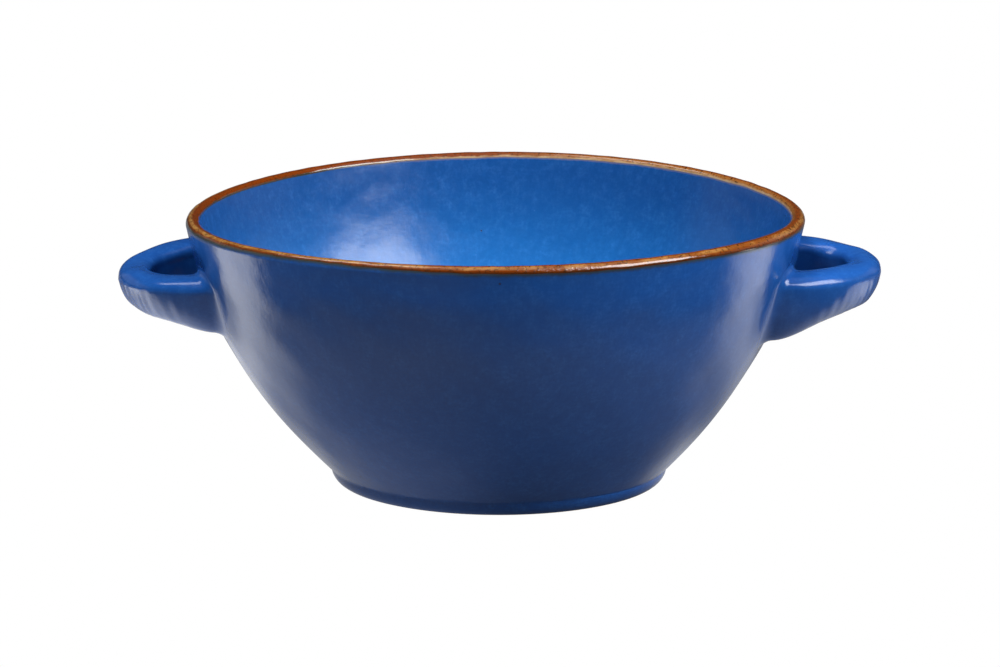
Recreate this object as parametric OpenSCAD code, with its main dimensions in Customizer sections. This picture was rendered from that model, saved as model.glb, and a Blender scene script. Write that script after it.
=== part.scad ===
// Lug soup bowl: a thrown stoneware bowl on a turned foot ring, with two flat
// loop handles luted on below the rim, a blue glaze inside and out, and a brown
// glaze over the lip. The handles stand out along X and +Z is up. The origin is
// on the bowl's axis, in the plane that the foot rests on.

/* [Bowl] */
// Outer diameter of the rim
rim_d = 152; // [130:1:180]
// Height of the lip above the table
bowl_h = 68; // [60:1:90]
// Thickness of the wall low down, with both coats
wall_t = 4.8; // [3.6:0.1:7]
// Thickness of the wall at the lip, with its coat
lip_t = 3.4; // [2.4:0.1:5]
// Thickness of the floor above the foot ring, with the inner coat
floor_t = 5.2; // [3.6:0.1:8]
// Radius of the flat middle of the floor
floor_flat_r = 22; // [14:1:28]
// Lean of the wall at the foot, in degrees from upright
foot_lean = 45.5; // [36:0.5:50]
// Lean of the wall at the rim, in degrees from upright
rim_lean = 14; // [6:1:22]
// Length over which the wall keeps its lean at the foot
foot_pull = 41.5; // [24:0.5:44]
// Length over which the wall keeps its lean at the rim
rim_pull = 10.5; // [8:0.5:28]

/* [Foot ring] */
// Outer diameter where the foot meets the wall
foot_d = 82.6; // [79:0.2:92]
// Distance that the foot's side curls in, from the wall to its flat face
foot_curl = 3.1; // [2:0.1:5.5]
// Width of the ring at the table, from its flat face's outer edge to its bore
ring_w = 4.2; // [3:0.1:7]
// Height of the foot ring
foot_h = 3.5; // [2.6:0.1:7]
// Bevel on the inner edge of the foot
foot_bevel = 0.7; // [0.3:0.1:1]
// Slope of the foot's inner wall, as a run inwards
foot_draft = 1.2; // [0.4:0.1:2.5]
// Height of the bare clay above the table
bare_h = 0.3; // [0.2:0.1:1.6]

/* [Glaze] */
// Thickness of each coat
glaze_t = 0.4; // [0.2:0.05:0.8]
// Reach of the brown band down the outside, in degrees from the top of the lip
band_out = 80; // [40:1:95]
// Reach of the brown band down the inside, in degrees from the top of the lip
band_in = 66; // [40:1:67]

/* [Handles] */
// Reach of each loop out from the wall
handle_reach = 20.8; // [16:0.1:30]
// Width of each loop from front to back
handle_w = 54; // [44:1:62]
// Depth of the loop's widest level below the lip
handle_drop = 15.4; // [12:0.1:20]
// Distance that the loop's centre lies inside the wall's face
loop_inset = 6.6; // [2:0.1:10]
// Width of the strap at the tip
tip_w = 7.8; // [5:0.1:10]
// Width of the strap at the roots
root_w = 11.2; // [7:0.1:13]
// Height of the strap above its widest level
strap_rise = 2.8; // [2:0.1:4]
// Depth of the strap below its widest level, at the tip
strap_fall = 8.4; // [6:0.1:10]
// Extra depth of the right handle's roots
right_root_fall = 5.6; // [1:0.1:7]
// Extra depth of the left handle's roots
left_root_fall = 3; // [1:0.1:7]
// Drop of the loop's tip below its roots
tip_sag = 0.8; // [0:0.1:2]
// Radius of the slip fillet round each root
slip_r = 2.2; // [1.2:0.1:3]
// Height of the slip's edge, where it ends on the wall and on the strap
slip_edge = 0.15; // [0.1:0.05:0.3]

/* [Hidden] */
$fn = 180;

// Steps along the wall, round the lip, along the floor's corner and down the foot
wall_steps = 16;
lip_steps = 8;
corner_steps = 8;
foot_steps = 4;
// Points round a strap's section, rings round its loop and rings on a fillet
strap_sides = 20;
loop_rings = 22;
fillet_rings = 5;
// Halvings that find where a strap meets the wall
halvings = 18;
// Share of the wall at which the floor's corner ends, and the corner's fullness
corner_end_share = 0.3;
corner_pull_share = 0.4;
// Inward slope of the strap's side below its widest level, as run over drop
strap_lean_share = 0.15;
// Squareness of the strap's section: 2 is an ellipse, and more is squarer
strap_power = 2.5;
// Depth of a strap's root below the wall's face, in coats, before the clay cuts it
root_embed_share = 4;
root_embed = root_embed_share * glaze_t;
// Points of an outline that lie closer than this share of a coat are one point
same_share = 0.001;

foot_r = foot_d / 2;
rest_r = foot_r - foot_curl;
rest_bore_r = rest_r - ring_w;
recess_r = rest_bore_r - foot_draft;
clay_foot = [foot_r - glaze_t, foot_h];
floor_z = foot_h + floor_t;

// The lip is a half round about this point
lip_r = lip_t / 2;
lip_centre = [rim_d / 2 - lip_r, bowl_h - lip_r];
lip_out = -rim_lean;
lip_in = 180 - rim_lean;
band_start = 90 - band_out;
band_end = 90 + band_in;

// A point and a heading on the cubic curve with the control points p
function curve(p, t) =
    pow(1 - t, 3) * p[0] + 3 * t * pow(1 - t, 2) * p[1]
    + 3 * t * t * (1 - t) * p[2] + pow(t, 3) * p[3];
function heading(p, t) =
    let (d = pow(1 - t, 2) * (p[1] - p[0]) + 2 * t * (1 - t) * (p[2] - p[1])
        + t * t * (p[3] - p[2]))
    d / norm(d);
// The heading turned a quarter turn to its left
function left_of(h) = [-h[1], h[0]];
function reversed(list) = [for (i = [len(list) - 1:-1:0]) list[i]];
// The stretches of an outline as one, without the points that repeat
function joined(stretches) =
    let (all = [for (stretch = stretches) each stretch], n = len(all))
    [for (i = [0:n - 1])
        if (norm(all[i] - all[(i + 1) % n]) > same_share * glaze_t) all[i]];

// The wall's outer face runs from the foot to the lip's half round
foot_heading = [sin(foot_lean), cos(foot_lean)];
rim_heading = [sin(rim_lean), cos(rim_lean)];
wall_foot = [foot_r, foot_h];
wall_top = lip_centre - lip_r * left_of(rim_heading);
wall_curve = [
    wall_foot, wall_foot + foot_pull * foot_heading,
    wall_top - rim_pull * rim_heading, wall_top
];
function wall_point(t, depth) =
    curve(wall_curve, t) + depth * left_of(heading(wall_curve, t));
function wall_thickness(t) = wall_t + (lip_t - wall_t) * t;
wall_shares = [for (i = [0:wall_steps]) i / wall_steps];
function outer_side(depth) = [for (t = wall_shares) wall_point(t, depth)];

// The inner face leaves the floor's flat on a curve and joins the wall
inner_shares = [
    for (i = [0:wall_steps]) corner_end_share + (1 - corner_end_share) * i / wall_steps
];
corner_from = [floor_flat_r, floor_z];
corner_to = wall_point(corner_end_share, wall_thickness(corner_end_share));
corner_pull = corner_pull_share * norm(corner_to - corner_from);
corner_curve = [
    corner_from, corner_from + [corner_pull, 0],
    corner_to - corner_pull * heading(wall_curve, corner_end_share), corner_to
];
function inner_side(depth) = concat(
    [for (i = [0:corner_steps - 1])
        let (t = i / corner_steps)
        curve(corner_curve, t) - depth * left_of(heading(corner_curve, t))],
    [for (t = inner_shares) wall_point(t, wall_thickness(t) - depth)]
);

// A stretch of the lip between two angles, counted from the outside
function lip_arc(from, to, depth) = [
    for (i = [0:lip_steps])
        let (a = from + (to - from) * i / lip_steps)
        lip_centre + (lip_r - depth) * [cos(a), sin(a)]
];

// The foot's outer side is a quarter ellipse, with its coat thinning downwards
bare_angle = asin(1 - bare_h / foot_h);
function foot_arc(from, to, coat) = [
    for (i = [0:foot_steps])
        let (a = from + (to - from) * i / foot_steps)
        [rest_r + (foot_r - glaze_t + coat - rest_r) * cos(a), foot_h * (1 - sin(a))]
];

// Radius of the wall's outer face at the height z
wall_profile = [for (p = outer_side(0)) [p[1], p[0]]];
function wall_radius(z) = lookup(z, wall_profile);

// The strap's middle line is half an ellipse, and past it runs straight inwards
loop_z = bowl_h - handle_drop;
loop_x = wall_radius(loop_z) - loop_inset;
loop_a = handle_reach + loop_inset - tip_w / 2;
loop_b = (handle_w - root_w) / 2;
function bend(q) = min(abs(q), 90);
function loop_point(q) = [
    abs(q) > 90 ? loop_x * (2 - abs(q) / 90) : loop_x + loop_a * cos(q),
    loop_b * sign(q) * sin(bend(q))
];
function loop_normal(q) =
    let (n = [loop_b * cos(bend(q)), loop_a * sign(q) * sin(bend(q))])
    n / norm(n);

// Share of a root's extra depth that the underside has at the turn q, on an S-curve
function root_share(q) = let (x = 1 - cos(bend(q))) pow(x * x * (3 - 2 * x), 3 / 2);

// The strap's section at the turn q: a squared oval that is widest near its top
function power(x, p) = sign(x) * pow(abs(x), p);
function strap_half(q) = (tip_w + (root_w - tip_w) * pow(sin(bend(q)), 2)) / 2;
function strap_depth(q, v, fall) =
    sin(v) > 0 ? strap_rise : strap_fall + fall * root_share(q);
function strap_point(q, v, fall) =
    let (across = strap_half(q) * power(cos(v), 2 / strap_power),
        up = strap_depth(q, v, fall) * power(sin(v), 2 / strap_power),
        at = loop_point(q) + (across + strap_lean_share * min(up, 0)) * loop_normal(q))
    [at[0], at[1], loop_z - tip_sag * cos(bend(q)) + up];
function strap_normal(q, v, fall) =
    let (p = 2 - 2 / strap_power,
        n = [power(cos(v), p) / strap_half(q), power(sin(v), p) / strap_depth(q, v, fall)],
        out = n[0] / norm(n) * loop_normal(q))
    [out[0], out[1], n[1] / norm(n)];

// Turn of the strap at which its line v stands the distance gap off the wall
function clearance(p) = norm([p[0], p[1]]) - wall_radius(p[2]);
function turn_at(v, gap, fall, near = 0, far = 180, left = halvings) =
    let (mid = (near + far) / 2)
    left == 0 ? mid
        : clearance(strap_point(mid, v, fall)) > gap
            ? turn_at(v, gap, fall, mid, far, left - 1)
            : turn_at(v, gap, fall, near, mid, left - 1);

// Distances off the wall of the fillet's rings, and the fillet's height there
fillet_angles = [for (i = [0:fillet_rings]) 90 * (1 - i / fillet_rings)];
root_gaps = concat(
    [-root_embed], [for (a = fillet_angles) slip_edge + (slip_r - slip_edge) * (1 - sin(a))]
);
root_heights = concat(
    [slip_r], [for (a = fillet_angles) slip_edge + (slip_r - slip_edge) * (1 - cos(a))]
);
strap_angles = [for (j = [0:strap_sides - 1]) 360 * j / strap_sides];

// One ring of the strap at its front root, and the same ring raised by height
function root_ring(gap, fall) = [
    for (v = strap_angles) strap_point(-turn_at(v, gap, fall), v, fall)
];
function raised_ring(gap, height, fall) = [
    for (v = strap_angles)
        let (q = -turn_at(v, gap, fall),
            p = strap_point(q, v, fall) + height * strap_normal(q, v, fall),
            r = wall_radius(p[2]) + gap)
        concat(r * [p[0], p[1]] / norm([p[0], p[1]]), [p[2]])
];
function flipped(ring) = [for (p = ring) [p[0], -p[1], p[2]]];
function middle(ring) = [for (p = ring) 1] * ring / len(ring);

// Triangles between two rings of points that start at the places a and b
function band_faces(a, b, n, turned) = [
    for (j = [0:n - 1])
        let (k = (j + 1) % n)
        each turned
            ? [[a + j, a + k, b + j], [a + k, b + k, b + j]]
            : [[a + j, a + k, b + k], [a + j, b + k, b + j]]
];
function inside_out(faces) = [for (f = faces) reversed(f)];
function fan_faces(hub, a, n) = [for (j = [0:n - 1]) [hub, a + (j + 1) % n, a + j]];

// A closed solid through a list of rings, with its triangles mirrored past half
module skin(rings, half) {
    n = len(rings[0]);
    last = len(rings) - 1;
    hub = n * len(rings);
    polyhedron(
        points = concat(
            [for (ring = rings) each ring], [middle(rings[0]), middle(rings[last])]
        ),
        faces = concat(
            fan_faces(hub, 0, n),
            [for (i = [0:last - 1]) each band_faces(n * i, n * (i + 1), n, i >= half)],
            inside_out(fan_faces(hub + 1, n * last, n))
        )
    );
}

// The whole strap, with both ends sunk in the wall
module strap(fall) {
    front = [for (gap = root_gaps) root_ring(gap, fall)];
    ends = [for (v = strap_angles) turn_at(v, root_gaps[len(root_gaps) - 1], fall)];
    loop = [
        for (i = [1:loop_rings - 1]) [
            for (j = [0:strap_sides - 1])
                strap_point(ends[j] * (2 * i / loop_rings - 1), strap_angles[j], fall)
        ]
    ];
    back = [for (ring = reversed(front)) flipped(ring)];
    skin(concat(front, loop, back), len(front) - 1 + loop_rings / 2);
}

// The slip round the front root: a sleeve on the strap that flares to the wall
module root_sleeve(fall) {
    n = strap_sides;
    last = len(root_gaps) - 1;
    skins = n * (last + 1);
    outer = [
        for (i = [0:last]) each raised_ring(root_gaps[i], root_heights[i], fall)
    ];
    inner = [for (gap = root_gaps) each root_ring(gap, fall)];
    polyhedron(
        points = concat(outer, inner),
        faces = concat(
            [for (i = [0:last - 1]) each band_faces(n * i, n * (i + 1), n, false)],
            inside_out([
                for (i = [0:last - 1])
                    each band_faces(skins + n * i, skins + n * (i + 1), n, false)
            ]),
            inside_out(band_faces(0, skins, n, false)),
            band_faces(n * last, skins + n * last, n, false)
        )
    );
}

// The straight plug that opens the outer glaze for the front root
module root_plug(fall) {
    skin([
        raised_ring(-root_embed, slip_r, fall), raised_ring(slip_edge, slip_r, fall),
        raised_ring(root_embed, slip_r, fall)
    ], 2);
}

module both_roots() {
    children();
    mirror([0, 1, 0]) children();
}

module on_left() {
    rotate([0, 0, 180]) children();
}

module turned(stretches) {
    rotate_extrude() polygon(joined(stretches));
}

// Everything inside the clay's outer face
module clay_core() {
    turned([[[0, foot_h], clay_foot], outer_side(glaze_t), [[0, wall_top[1]]]]);
}

module bowl_body() {
    color("tan")
    turned([
        [[0, foot_h], clay_foot], outer_side(glaze_t),
        lip_arc(lip_out, band_start, glaze_t), lip_arc(band_start, band_end, glaze_t),
        lip_arc(band_end, lip_in, glaze_t), reversed(inner_side(glaze_t)),
        [[0, floor_z - glaze_t]]
    ]);
}

module foot_ring() {
    color("tan")
    turned([
        [[recess_r, foot_h]], foot_arc(0, bare_angle, 0), foot_arc(bare_angle, 90, 0),
        [[rest_bore_r + foot_bevel, 0], [rest_bore_r, foot_bevel]],
        [[recess_r, foot_h - glaze_t]]
    ]);
}

module handle(fall) {
    difference() {
        strap(fall);
        clay_core();
    }
}

module handle_slip(fall) {
    difference() {
        both_roots() root_sleeve(fall);
        clay_core();
    }
}

module right_handle() {
    color("royalblue") handle(right_root_fall);
}

module left_handle() {
    color("royalblue") on_left() handle(left_root_fall);
}

module right_handle_slip() {
    color("royalblue") handle_slip(right_root_fall);
}

module left_handle_slip() {
    color("royalblue") on_left() handle_slip(left_root_fall);
}

module outer_glaze() {
    color("mediumblue")
    difference() {
        turned([
            foot_arc(bare_angle, 0, glaze_t), outer_side(0),
            lip_arc(lip_out, band_start, 0), lip_arc(band_start, lip_out, glaze_t),
            reversed(outer_side(glaze_t)), foot_arc(0, bare_angle, 0)
        ]);
        both_roots() root_plug(right_root_fall);
        on_left() both_roots() root_plug(left_root_fall);
    }
}

module inner_glaze() {
    color("dodgerblue")
    turned([
        [[0, floor_z]], inner_side(0), lip_arc(lip_in, band_end, 0),
        lip_arc(band_end, lip_in, glaze_t), reversed(inner_side(glaze_t)),
        [[0, floor_z - glaze_t]]
    ]);
}

module rim_band() {
    color("sienna")
    turned([
        lip_arc(band_start, band_end, 0), lip_arc(band_end, band_start, glaze_t)
    ]);
}

module base_glaze() {
    color("mediumblue")
    translate([0, 0, foot_h - glaze_t])
        cylinder(r = recess_r, h = glaze_t);
}

bowl_body();
foot_ring();
right_handle();
left_handle();
right_handle_slip();
left_handle_slip();
outer_glaze();
inner_glaze();
rim_band();
base_glaze();
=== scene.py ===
"""Dresses the packed lug soup bowl: a thrown stoneware bowl with two flat loop lugs,
a cobalt glaze inside and out and an iron brown band over the lip.

The pieces are closed surfaces worked out with numpy in the frame's own metres. The
bowl's outline is turned about Z, and each lug is a squared oval carried round a loop.
"""

import math
from types import SimpleNamespace

import bpy
import numpy as np
from bpy.props import FloatProperty, FloatVectorProperty, PointerProperty
from mathutils import Matrix, Vector


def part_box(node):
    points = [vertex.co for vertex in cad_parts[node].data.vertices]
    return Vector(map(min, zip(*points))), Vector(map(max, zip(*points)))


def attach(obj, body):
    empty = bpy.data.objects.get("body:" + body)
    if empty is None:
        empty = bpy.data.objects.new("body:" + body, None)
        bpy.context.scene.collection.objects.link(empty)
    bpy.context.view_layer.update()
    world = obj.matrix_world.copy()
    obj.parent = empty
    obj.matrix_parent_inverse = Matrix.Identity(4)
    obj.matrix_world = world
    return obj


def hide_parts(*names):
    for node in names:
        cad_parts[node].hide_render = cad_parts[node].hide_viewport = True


bl_info = {
    "name": "Lug Soup Bowl",
    "version": (1, 0, 0),
    "blender": (4, 5, 0),
    "location": "3D View > Sidebar > Lug Bowl",
    "description": "Builds a glazed stoneware soup bowl with two loop lugs",
    "category": "Add Mesh",
}

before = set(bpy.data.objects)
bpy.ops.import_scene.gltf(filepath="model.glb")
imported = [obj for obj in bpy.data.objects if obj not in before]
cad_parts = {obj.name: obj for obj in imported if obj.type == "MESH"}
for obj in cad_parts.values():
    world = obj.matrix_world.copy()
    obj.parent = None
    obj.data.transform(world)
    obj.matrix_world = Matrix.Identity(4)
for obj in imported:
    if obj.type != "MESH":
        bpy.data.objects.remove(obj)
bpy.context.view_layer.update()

MM = 0.001
BODY = "root"
SEED = 20
LUG_SEEDS = {1: SEED + 6, -1: SEED + 7}

# Corners of the CAD solids that the sizes start from
GLAZE_LOW, GLAZE_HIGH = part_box("outer_glaze")
BASE_LOW, BASE_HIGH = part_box("base_glaze")
BAND_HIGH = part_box("rim_band")[1]
FOOT_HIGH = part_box("foot_ring")[1]
LUG_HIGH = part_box("right_handle")[1]
COAT = BASE_HIGH.z - BASE_LOW.z

# Points round the bowl, which every turned piece shares, with their angles from the right
# lug towards the back, and rows along each stretch
ROUND = 480
AROUND = np.arange(ROUND) * (2 * np.pi / ROUND)
WALL_ROWS, LIP_ROWS, FOOT_ROWS, BAND_ROWS = 120, 10, 10, 26
FLOOR_ROWS, CORNER_ROWS, INNER_ROWS, HIDDEN_ROWS, BASE_ROWS = 26, 26, 96, 16, 40
# Rows of the clay under the coats: up the wall, over the lip, down inside and round the corner
CLAY_ROWS = (40, 14, 30, 12)
# Radius at which the rows of the clay, the base's pool and the floor's coat stop short of the
# middle, as a share of the flat
CLAY_HUB, BASE_HUB, FLOOR_HUB = 0.1, 0.03, 0.04
# Share of the base's pool that climbs the foot's inner side
MENISCUS = 0.07
# Points round a lug's section, rings round its loop and rings on its slip fillet
STRAP_SIDES, LOOP_RINGS, FILLET_RINGS = 112, 190, 12
# Points of the wall's outline on which the lugs find their place, and steps of that search
WALL_POINTS, HALVINGS = 200, 40
# Sine waves that add up to an uneven mark, and the height of the hands' waves inside the
# bowl, as a share of that outside
WAVES, INNER_WAVE = 40, 0.6
# The kiln's sag and pull at the rim in millimetres: lobes, and their cosine and sine parts
RIM_SAG = ((0, -0.8, 0), (1, 0.355, -0.14), (2, -0.8, -0.06), (3, -0.02, -0.2), (4, -0.09, -0.05))
RIM_PULL = ((0, -0.35, 0), (1, -0.09, -0.04), (2, -0.38, 0.12))
# The band's outer and inner edges in degrees of lip, counted from the outside over the top:
# mean, slant across the bowl, wander and limit, and the way that the inner edge slants
BAND_START, START_SLANT, START_WANDER, START_LEAST = 10, 14, 1.6, -13
BAND_END, END_SLANT, END_WANDER, END_MOST, END_WAY = 159, 3.5, 1.8, 165.5, 20
# Places round the rim where the band's outer edge hangs or stops short: middle and half
# width in degrees, and rise in degrees of lip
BAND_DIPS = ((-83, 18, -6), (-121, 20, 15), (-52, 14, 9))
# Share of the wall at which the floor's corner ends inside, and the corner's fullness
CORNER_END, CORNER_PULL = 0.3, 0.4
# Angle between faces past which an edge is sharp
SHARP_ANGLE = math.radians(42)


def length(name, description, default, least=0):
    """A size in metres that a user can change."""
    return FloatProperty(
        name=name, description=description, default=default, min=least,
        unit="LENGTH", subtype="DISTANCE", precision=5,
    )


def pair(name, description, right, left, unit="LENGTH"):
    """A size of the right lug and of the left one, in metres or as a plain number."""
    return FloatVectorProperty(
        name=name, description=description, default=(right, left), size=2,
        unit=unit, precision=5,
    )


def angle(name, description, degrees):
    """An angle, shown in degrees."""
    return FloatProperty(
        name=name, description=description, default=math.radians(degrees),
        unit="ROTATION", subtype="ANGLE",
    )


def colour(name, description, default):
    """A colour in linear light."""
    return FloatVectorProperty(
        name=name, description=description, default=default, size=3, min=0, max=1,
        subtype="COLOR",
    )


def amount(name, description, default):
    """A plain number."""
    return FloatProperty(name=name, description=description, default=default, min=0)


class LugBowlSizes(bpy.types.PropertyGroup):
    """Sizes of the bowl, its foot and its coats."""

    rim_r: length("Rim radius", "Outer radius of the rim", GLAZE_HIGH.x)
    bowl_h: length("Height", "Height of the lip above the table", BAND_HIGH.z)
    wall_t: length("Wall", "Thickness of the wall low down, with both coats", 4.8 * MM)
    lip_t: length("Lip", "Thickness of the wall at the lip, with its coat", 3.4 * MM)
    floor_t: length("Floor", "Thickness of the floor above the foot", 5.2 * MM)
    flat_r: length("Flat of the floor", "Radius of the flat middle of the floor", 22 * MM)
    foot_lean: angle("Foot lean", "Lean of the wall at the foot from upright", 45.5)
    rim_lean: angle("Rim lean", "Lean of the wall at the rim from upright", 14)
    foot_pull: length("Foot pull", "Length that keeps the foot's lean", 41.5 * MM)
    rim_pull: length("Rim pull", "Length that keeps the rim's lean", 10.5 * MM)
    foot_r: length("Foot radius", "Radius where the foot meets the wall", FOOT_HIGH.x + COAT)
    foot_h: length("Foot height", "Height of the foot ring", FOOT_HIGH.z)
    foot_curl: length("Foot curl", "Distance that the foot's side curls in", 3.1 * MM)
    bare_h: length("Bare foot", "Height at which the outer coat stops", GLAZE_LOW.z)
    recess_r: length("Recess radius", "Radius inside the foot ring", BASE_HIGH.x)
    coat: length("Coat", "Thickness of each coat of glaze", COAT)
    band_rise: length("Band rise", "Height of the brown band over the blue", 0.07 * MM)
    sag_from: length("Sag from", "Height above which the rim sags", 25 * MM)
    off_centre: length("Off centre", "Distance of the bowl from its foot's axis", -0.8 * MM, -MM)
    upright_h: length("Upright from", "Height above which the bowl stands true", 32 * MM)
    wall_wave: length("Wall wave", "Height of the waves left by the hands", 0.055 * MM)


class LugSizes(bpy.types.PropertyGroup):
    """Sizes of the two lugs. A pair holds the right lug's and the left one's."""

    half_w: length("Half width", "Half of a lug's width, front to back", LUG_HIGH.y)
    tip: pair("Tips", "Distance of each tip from the axis", 94.4 * MM, 92.5 * MM)
    drop: length("Drop", "Depth of the widest level below the lip", 15.4 * MM)
    inset: length("Inset", "Distance of the loop's centre inside the wall", 6.6 * MM)
    tip_w: length("Tip width", "Width of the strap at the tip", 8.2 * MM)
    root_w: length("Root width", "Width of the strap at the roots", 12.5 * MM)
    rise: length("Rise", "Height of the strap above its widest level", 3.5 * MM)
    fall: length("Fall", "Depth of the strap below its widest level", 7.8 * MM)
    root: pair("Roots", "Extra depth of each lug's roots", 6.4 * MM, 4.4 * MM)
    sag: pair("Sag", "Drop of each tip below the roots", 0.6 * MM, 2.3 * MM)
    lift: pair("Lift", "Lift of each whole lug", 0.85 * MM, 1.1 * MM)
    tilt: pair("Tilt", "Lift of each lug's back root", 0.7 * MM, 1.1 * MM)
    fold: pair("Folds", "Height of the folds pulled down each lug", 0.035 * MM, 0.06 * MM)
    lean: pair("Lean", "Slope of each strap's side, as run over drop", 0.15, 0.28, "NONE")
    slip_r: length("Slip", "Radius of the slip fillet at each root", 2.2 * MM)
    embed: length("Embed", "Depth of a root inside the wall", 1.6 * MM)
    square: amount("Squareness", "2 is an oval, and more is squarer", 2.2)
    lump: length("Lump", "Height of the lumps left by the fingers", 0.1 * MM)


class GlazeColours(bpy.types.PropertyGroup):
    """Colours of the coats and the clay."""

    blue: colour("Cobalt", "Main colour of the blue glaze", (0.017, 0.126, 0.49))
    # Deep cobalt serves only as painted shade, darkened further, in the lugs' finger gaps
    gap_shade_blue: colour("Painted gap shade cobalt", "Blue where the glaze pools", (0.010, 0.080, 0.34))
    pale: colour("Pale cobalt", "Blue where the glaze breaks", (0.08, 0.25, 0.60))
    # Painted light: this blue brightens the outer wall high up and low at the foot's front right
    outer_lit_blue: colour("Painted light outer cobalt", "Blue high on the outer wall", (0.019, 0.168, 0.66))
    # Down the inner wall the blue turns from the first of these to the second as painted light
    inside: colour("Inner cobalt", "Blue high inside the bowl", (0.013, 0.112, 0.37))
    bright: colour("Bright cobalt", "Blue low inside the bowl", (0.022, 0.262, 0.70))
    orange: colour("Burnt orange", "Iron glaze on the right of the lip", (0.38, 0.090, 0.006))
    russet: colour("Russet", "Main colour of the iron glaze", (0.19, 0.034, 0.002))
    # Golden breaks of the iron glaze, also carrying a painted highlight and glint on the lip
    golden: colour("Golden brown", "Iron glaze where it breaks", (0.50, 0.26, 0.07))
    dark: colour("Iron dark", "Iron glaze where it runs thin", (0.055, 0.018, 0.004))
    olive: colour("Olive", "Blend of the two glazes at the band's edge", (0.040, 0.052, 0.034))
    # Partly a pale break of the glaze and partly a painted glint at the lip's inner edge
    cream: colour("Cream", "Pale line inside the lip", (0.56, 0.38, 0.20))
    pit: colour("Pit", "Inside of a pinhole", (0.006, 0.012, 0.03))
    clay: colour("Clay", "Fired stoneware", (0.50, 0.38, 0.26))
    clay_dark: colour("Clay grain", "Iron grains in the clay", (0.22, 0.13, 0.075))


class BowlStage(bpy.types.PropertyGroup):
    """Floor, lights and camera."""

    front_glow: amount("Front glow", "Light from the table in front", 0.3)
    left_glow: amount("Left glow", "Light from the table at the left", 2.35)
    right_glow: amount("Right glow", "Light from the table at the right", 2.1)
    left_haze: amount("Left haze", "Light from the whole left half of the table", 0.12)
    table_dim: amount("Dim table", "Light from the rest of the table", 0.06)
    room: amount("Room", "Light from the dark room", 0.02)
    top_light: amount("Top light", "Brightness of the long box above the front", 5.0)
    lip_light: amount("Lip light", "Brightness of the box that glints along the lip", 3.2)
    key_light: amount("Key light", "Brightness of the box at the front right", 9)
    left_light: amount("Left light", "Brightness of the box at the front left", 19)
    ceiling: amount("Ceiling", "Brightness of the ceiling", 0.35)
    foot_glow: amount("Foot glow", "Light from the table beside the foot", 0.24)
    side_light: amount("Side light", "Brightness of the low boxes behind both sides", 0.25)
    eye_height: angle("Eye height", "Height of the camera over the table", 12.36)
    eye_distance: length("Eye distance", "Distance of the camera", 1200 * MM)
    aim_h: length("Aim", "Height that the camera looks at", 33 * MM)
    lens: amount("Lens", "Focal length in millimetres on a 36 mm sensor", 176.22)


def cubic(points, t):
    """A cubic curve through its first and last control points."""
    t = np.asarray(t)[..., None]
    a, b, c, d = points
    return (1 - t) ** 3 * a + 3 * t * (1 - t) ** 2 * b + 3 * t**2 * (1 - t) * c + t**3 * d


def unit(way):
    """A direction with the length 1."""
    return way / np.linalg.norm(way, axis=-1, keepdims=True)


def cubic_side(points, t):
    """The unit vector square to that curve, on its left."""
    t = np.asarray(t)[..., None]
    a, b, c, d = points
    way = (1 - t) ** 2 * (b - a) + 2 * t * (1 - t) * (c - b) + t**2 * (d - c)
    return unit(np.stack([-way[..., 1], way[..., 0]], -1))


def bowl_outline(sizes):
    """The outline's curves, in the plane of radius and height: the wall's outer face is
    a cubic from the foot to the lip's half round, and another joins the floor to the
    wall's inner face."""
    lip_r = sizes.lip_t / 2
    lip = np.array([sizes.rim_r - lip_r, sizes.bowl_h - lip_r])
    low = np.array([math.sin(sizes.foot_lean), math.cos(sizes.foot_lean)])
    high = np.array([math.sin(sizes.rim_lean), math.cos(sizes.rim_lean)])
    foot = np.array([sizes.foot_r, sizes.foot_h])
    top = lip + lip_r * np.array([high[1], -high[0]])
    wall = np.array([foot, foot + sizes.foot_pull * low, top - sizes.rim_pull * high, top])
    out = SimpleNamespace(
        sizes=sizes, lip=lip, lip_r=lip_r, wall=wall,
        lip_out=-sizes.rim_lean, lip_in=math.pi - sizes.rim_lean,
    )
    start = np.array([sizes.flat_r, sizes.foot_h + sizes.floor_t])
    end = inner_wall(out, CORNER_END, 0)
    pull = CORNER_PULL * np.linalg.norm(end - start)
    way = -cubic_side(wall, CORNER_END)[::-1] * np.array([-1, 1])
    out.corner = np.array([start, start + [pull, 0], end - pull * way, end])
    return out


def outer_wall(outline, t, depth):
    """The wall's outer face, moved in by depth."""
    return cubic(outline.wall, t) + np.asarray(depth)[..., None] * cubic_side(outline.wall, t)


def inner_wall(outline, t, depth):
    """The wall's inner face, moved into the wall by depth. The wall thins to the lip."""
    sizes = outline.sizes
    thick = sizes.wall_t + (sizes.lip_t - sizes.wall_t) * t
    return outer_wall(outline, t, thick - depth)


def floor_corner(outline, t, depth):
    """The curve from the flat of the floor to the wall, moved into the floor by depth."""
    return cubic(outline.corner, t) - depth * cubic_side(outline.corner, t)


def lip_arc(outline, turn, depth):
    """The lip's half round, with turn counted from the outside over the top."""
    r = np.asarray(outline.lip_r - depth)[..., None]
    return outline.lip + r * np.stack([np.cos(turn), np.sin(turn)], -1)


def foot_side(outline, turn, coat):
    """The foot's side, a quarter ellipse that curls in under the wall, with a coat that
    thins downwards."""
    sizes = outline.sizes
    rest = sizes.foot_r - sizes.foot_curl
    reach = sizes.foot_r - sizes.coat + coat - rest
    return np.stack([rest + reach * np.cos(turn), sizes.foot_h * (1 - np.sin(turn))], -1)


def soft_waves(seed, around, along, lobes, rates):
    """Smooth uneven marks: the mean of sine waves whose lobes round the bowl and rates
    along it are drawn once from the given ranges."""
    draw = np.random.RandomState(seed)
    total = np.zeros(np.broadcast(around, along).shape)
    for _ in range(WAVES):
        n = draw.randint(lobes[0], lobes[1] + 1)
        k = draw.uniform(rates[0], rates[1])
        a, b = draw.uniform(0, 2 * np.pi, 2)
        total += np.sin(n * around + a) * np.sin(k * along + b)
    return total * 2 / math.sqrt(WAVES)


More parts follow.
